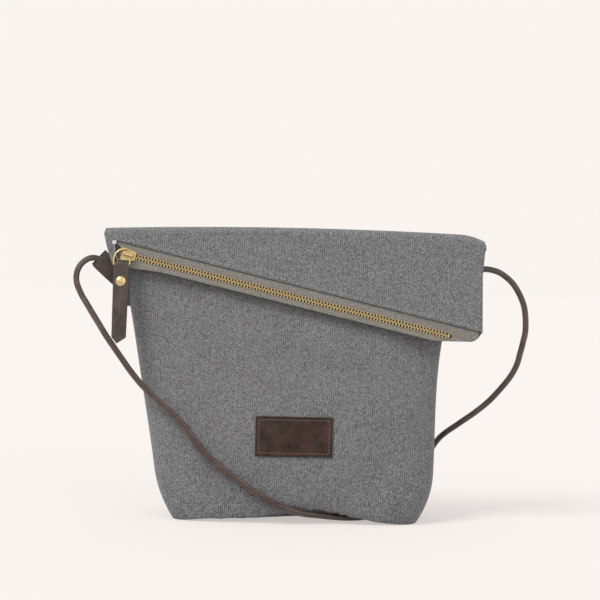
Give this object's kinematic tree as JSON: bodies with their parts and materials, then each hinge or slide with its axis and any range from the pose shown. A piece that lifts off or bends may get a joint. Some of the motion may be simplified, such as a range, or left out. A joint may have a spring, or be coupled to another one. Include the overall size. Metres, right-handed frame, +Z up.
{
  "type": "trapeze bag",
  "caption": "Fold-over canvas shoulder bag with trapeze panels, boxed base, slanted brass zip across the folded flap, leather pull, label, side tabs and a rolled leather strap.",
  "frame": {"origin": "centre of the bag's footprint box on the floor, strap left out", "axes": "+X along the fold to the right seen from the front, -Y out of the front, +Z up"},
  "size_m": [0.3795, 0.105, 0.241],
  "materials": {
    "grey_canvas": "woven, matt",
    "lining_cloth": "woven, matt",
    "zip_tape": "ribbed, matt",
    "pale_thread": "matt",
    "tab_leather": "waxed",
    "label_leather": "waxed",
    "pull_leather": "waxed",
    "strap_leather": "waxed",
    "tooth_brass": "antique",
    "slider_brass": "polished"
  },
  "bodies": {
    "body": {"body_front": "grey_canvas", "body_back": "grey_canvas", "lining_front": "lining_cloth", "lining_back": "lining_cloth", "fold_outer": "grey_canvas", "fold_inner": "grey_canvas", "fold_lining_outer": "lining_cloth", "fold_lining_inner": "lining_cloth", "label_patch": "label_leather", "tab_left_front": "tab_leather", "tab_left_back": "tab_leather", "tab_right_front": "tab_leather", "tab_right_back": "tab_leather", "strap": "strap_leather"},
    "flap": {"flap_outer": "grey_canvas", "flap_inner": "grey_canvas", "flap_lining_outer": "lining_cloth", "flap_lining_inner": "lining_cloth", "zip_tape_upper": "zip_tape", "zip_tape_lower": "zip_tape", "zip_teeth_upper": "tooth_brass", "zip_teeth_lower": "tooth_brass", "zip_top_stops": "tooth_brass", "zip_bottom_stop": "tooth_brass", "bar_tack": "pale_thread"},
    "slider": {"slider_body": "slider_brass", "slider_bail": "slider_brass"},
    "ring": {"pull_ring": "slider_brass"},
    "pull": {"pull_strip": "pull_leather", "rivet_cap": "slider_brass", "rivet_post": "slider_brass"}
  },
  "joints": [
    {"name": "flap_fold", "type": "hinge", "parent": "body", "child": "flap", "pos_m": [0, -0.0177, 0.2407], "axis": [-1, 0, 0], "range_deg": [0, 172], "deforming": ["fold_outer", "fold_inner", "fold_lining_outer", "fold_lining_inner"]},
    {"name": "slider_slide", "type": "slide", "parent": "flap", "child": "slider", "axis": [0.9744, -0.0313, -0.2228], "range_m": [0, 0.255], "deforming": ["zip_teeth_upper", "zip_teeth_lower"]},
    {"name": "ring_turn", "type": "hinge", "parent": "slider", "child": "ring", "pos_m": [-0.1287, -0.02933, 0.21634], "axis": [0, 0.1392, 0.9903], "range_deg": [0, 90]},
    {"name": "pull_swing", "type": "hinge", "parent": "ring", "child": "pull", "pos_m": [-0.1352, -0.03052, 0.20783], "axis": [-1, 0, 0], "range_deg": [0, 80]}
  ]
}
